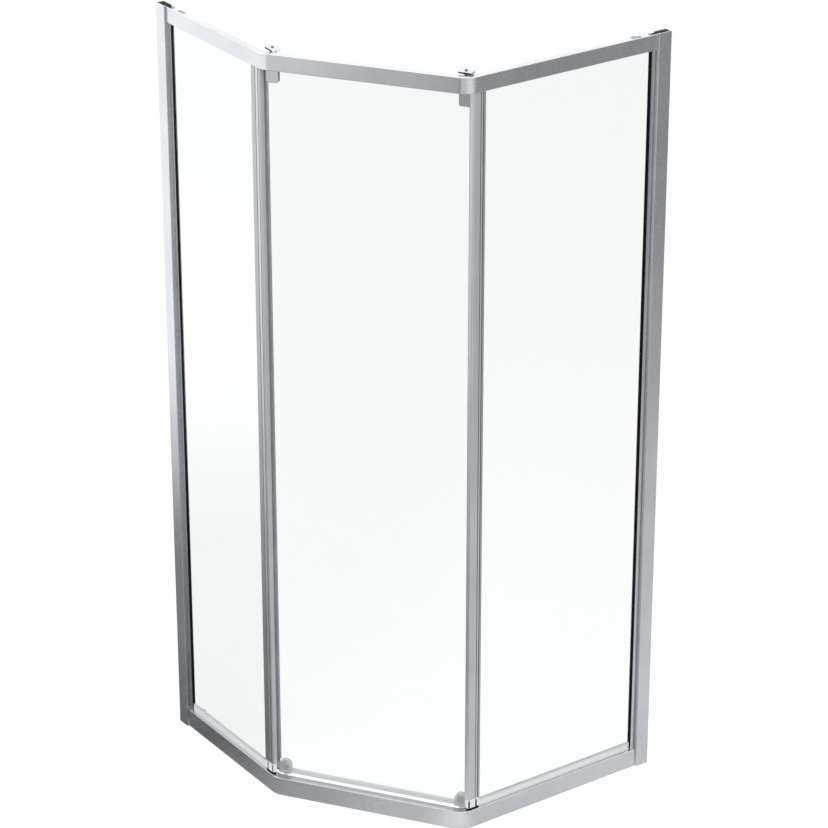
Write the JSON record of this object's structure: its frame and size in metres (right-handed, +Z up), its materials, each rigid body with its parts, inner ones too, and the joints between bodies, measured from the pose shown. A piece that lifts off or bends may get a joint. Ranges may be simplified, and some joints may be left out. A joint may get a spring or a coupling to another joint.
{
  "type": "pentagonal shower enclosure",
  "caption": "Floor-standing pentagonal corner shower enclosure: fixed side panes in satin aluminium rails, and a glass door that glides round one corner.",
  "frame": {"origin": "on the floor, at the centre of the square that the enclosure fills, halfway between each wall and the front of the opposite wall profile", "axes": "+Z up, -X into the left wall, +Y into the right wall; the door faces -Y and +X"},
  "size_m": [0.885, 0.885, 2.0089],
  "materials": {
    "aluminium": "satin silver anodised",
    "clear_glass": "clear safety glass",
    "clear_seal": "translucent soft plastic",
    "black_rubber": "matte black",
    "white_plastic": "satin white",
    "black_plastic": "satin black",
    "grey_plastic": "satin mid grey",
    "clear_plastic": "clear moulded plastic",
    "steel": "stainless steel"
  },
  "bodies": {
    "frame": {"bottom_rail": "aluminium", "corner_post_left": "aluminium", "corner_post_right": "aluminium", "foot_pad_left": "black_rubber", "foot_pad_right": "black_rubber", "glass_profile_left": "aluminium", "glass_profile_right": "aluminium", "guide_stop_left": "grey_plastic", "guide_stop_right": "grey_plastic", "head_seal_left": "clear_seal", "head_seal_right": "clear_seal", "post_foot_left": "white_plastic", "post_foot_right": "white_plastic", "profile_plug_left": "black_plastic", "profile_plug_right": "black_plastic", "profile_screws": "steel", "rail_caps": "grey_plastic", "rail_connector_left": "grey_plastic", "rail_connector_right": "grey_plastic", "side_glass_left": "clear_glass", "side_glass_right": "clear_glass", "sill_seal_left": "clear_seal", "sill_seal_right": "clear_seal", "top_rail": "aluminium", "track_stop": "black_plastic", "wall_gasket_left": "black_rubber", "wall_gasket_right": "black_rubber", "wall_profile_left": "aluminium", "wall_profile_right": "aluminium"},
    "corner_turner": {"corner_disc": "white_plastic"},
    "door": {"door_glass": "clear_glass", "trailing_profile": "aluminium", "leading_seal": "clear_seal", "drip_seal": "clear_seal", "clip_screws": "steel", "clip_left": "aluminium", "clip_right": "aluminium", "clip_pads_left": "black_rubber", "clip_pads_right": "black_rubber", "hanger_left": "steel", "hanger_right": "steel", "guide_housing_left": "clear_plastic", "guide_housing_right": "clear_plastic", "carriage_block_right": "black_plastic", "carriage_cap_right": "aluminium"},
    "carriage_left": {"carriage_bolt_left": "steel", "carriage_fork_left": "steel", "carriage_axle_left": "steel", "carriage_block_left": "black_plastic", "carriage_cap_left": "aluminium"},
    "wheel_left": {"carriage_wheel_left": "white_plastic"},
    "roller_left": {"guide_roller_left": "white_plastic"},
    "button_left": {"release_button_left": "grey_plastic"},
    "carriage_right": {"carriage_bolt_right": "steel", "carriage_fork_right": "steel", "carriage_axle_right": "steel"},
    "wheel_right": {"carriage_wheel_right": "white_plastic"},
    "roller_right": {"guide_roller_right": "white_plastic"},
    "button_right": {"release_button_right": "grey_plastic"}
  },
  "joints": [
    {"name": "corner_turn", "type": "hinge", "parent": "frame", "child": "corner_turner", "pos_m": [0.4035, -0.12775, 0], "axis": [0, 0, -1], "range_deg": [0, 55.18]},
    {"name": "door_glide", "type": "hinge", "parent": "corner_turner", "child": "door", "pos_m": [0.11258, -0.12775, 0], "axis": [0, 0, 1], "range_deg": [0, 110.25]},
    {"name": "carriage_swivel_left", "type": "hinge", "parent": "door", "child": "carriage_left", "pos_m": [0.01186, -0.40069, 2], "axis": [0, 0, -1], "range_deg": [0, 20.3]},
    {"name": "carriage_swivel_right", "type": "hinge", "parent": "door", "child": "carriage_right", "pos_m": [0.4035, -0.12775, 2], "axis": [0, 0, -1], "range_deg": [0, 55.18]},
    {"name": "wheel_spin_left", "type": "hinge", "parent": "carriage_left", "child": "wheel_left", "pos_m": [0.01186, -0.40069, 1.98458], "axis": [0, 1, 0], "continuous": true},
    {"name": "wheel_spin_right", "type": "hinge", "parent": "carriage_right", "child": "wheel_right", "pos_m": [0.4035, -0.12775, 1.98458], "axis": [1, 0, 0], "continuous": true},
    {"name": "roller_spin_left", "type": "hinge", "parent": "door", "child": "roller_left", "pos_m": [0.01186, -0.40069, 0.008], "axis": [0, 0, 1], "continuous": true},
    {"name": "roller_spin_right", "type": "hinge", "parent": "door", "child": "roller_right", "pos_m": [0.4035, -0.12775, 0.008], "axis": [0, 0, 1], "continuous": true},
    {"name": "button_press_left", "type": "slide", "parent": "door", "child": "button_left", "axis": [-0.5718, 0.8204, 0], "range_m": [0, 0.002], "stiffness_N_per_m": 900, "springref_m": -0.002},
    {"name": "button_press_right", "type": "slide", "parent": "door", "child": "button_right", "axis": [-0.5718, 0.8204, 0], "range_m": [0, 0.002], "stiffness_N_per_m": 900, "springref_m": -0.002}
  ],
  "couplings": [
    {"joint": "corner_turn", "follows": "door_glide", "ratio": 0.5},
    {"joint": "carriage_swivel_right", "follows": "door_glide", "ratio": 0.5},
    {"joint": "carriage_swivel_left", "follows": "door_glide", "ratio": 0.18371}
  ]
}
